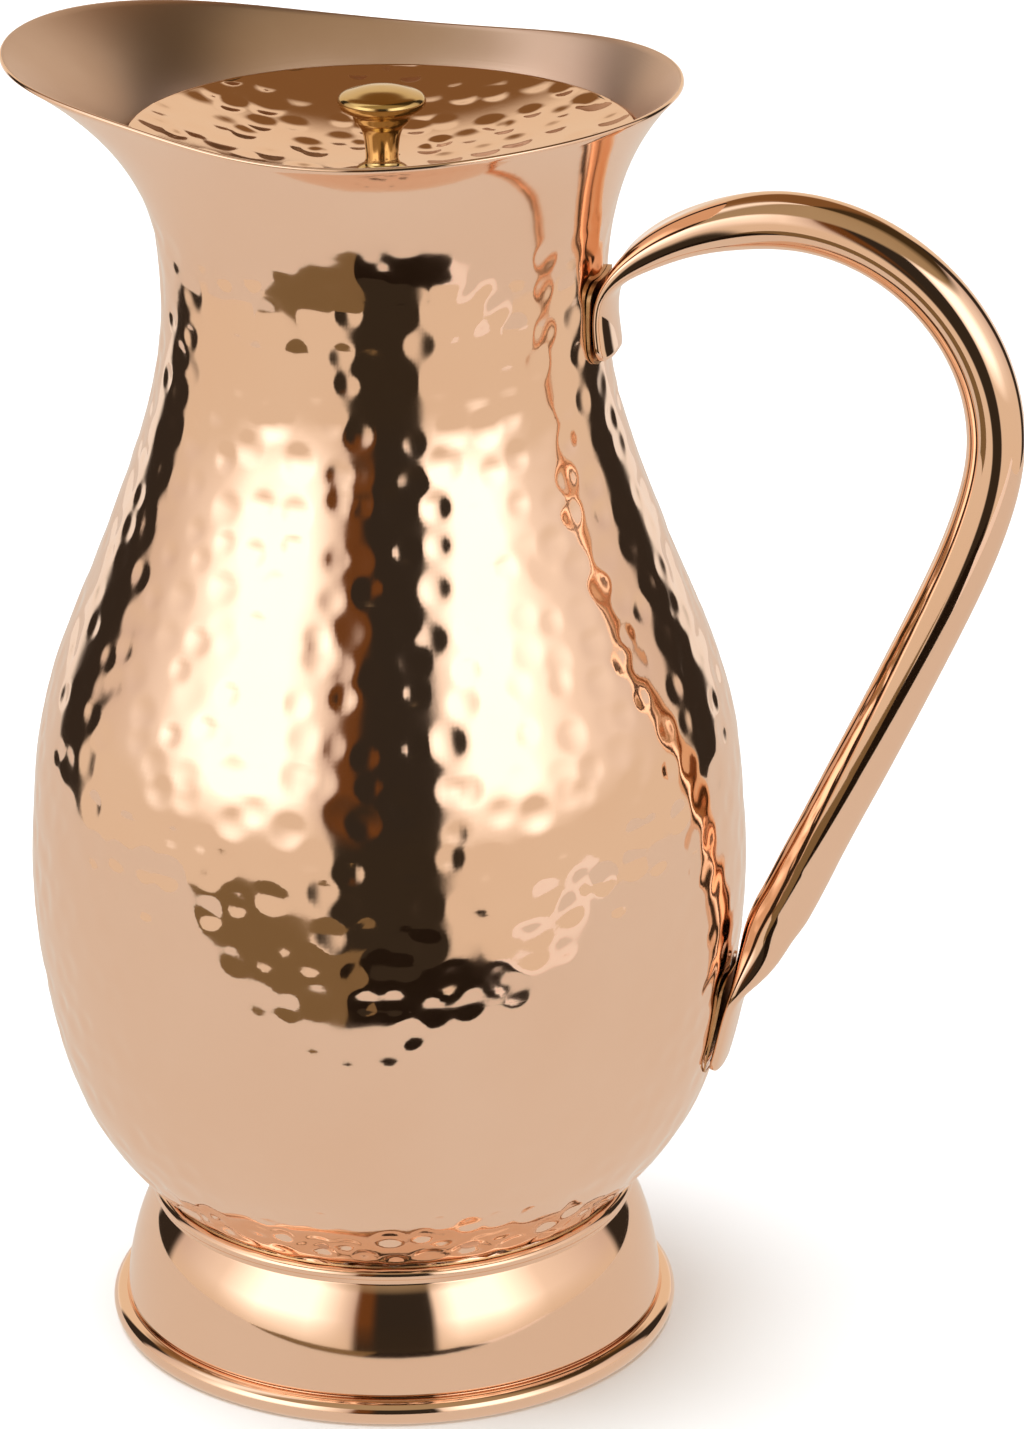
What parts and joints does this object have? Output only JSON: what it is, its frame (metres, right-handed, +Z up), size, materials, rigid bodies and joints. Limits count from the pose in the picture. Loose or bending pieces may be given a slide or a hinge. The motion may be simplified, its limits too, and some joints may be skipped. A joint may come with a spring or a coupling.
{
  "type": "water jug",
  "caption": "Tall round-bellied hammered copper jug with a drawn-out pouring lip, a looped tube handle, a flared foot and a dished drop-in lid with a turned brass knob.",
  "frame": {"origin": "on the jug's turning axis, in the plane of the foot's lapped underside, where the jug stands", "axes": "+Z up along the turning axis; +X towards the handle, so the pouring lip points along -X; +Y to the side"},
  "size_m": [0.1887, 0.1362, 0.25],
  "materials": {
    "hammered_copper": "hammered and polished",
    "polished_copper": "polished",
    "brazing_metal": "satin",
    "knob_brass": "turned and polished",
    "screw_steel": "bright zinc"
  },
  "bodies": {
    "jug": {"upper_shell": "hammered_copper", "lower_shell": "hammered_copper", "foot_ring": "polished_copper", "foot_braze": "brazing_metal", "handle": "polished_copper", "upper_handle_braze": "brazing_metal", "lower_handle_braze": "brazing_metal"},
    "lid": {"lid_pan": "hammered_copper", "lid_knob": "knob_brass", "knob_washer": "knob_brass", "knob_screw": "screw_steel"}
  },
  "joints": [
    {"name": "lid_lift", "type": "slide", "parent": "jug", "child": "lid", "axis": [0, 0, 1], "range_m": [0, 0.12]}
  ]
}
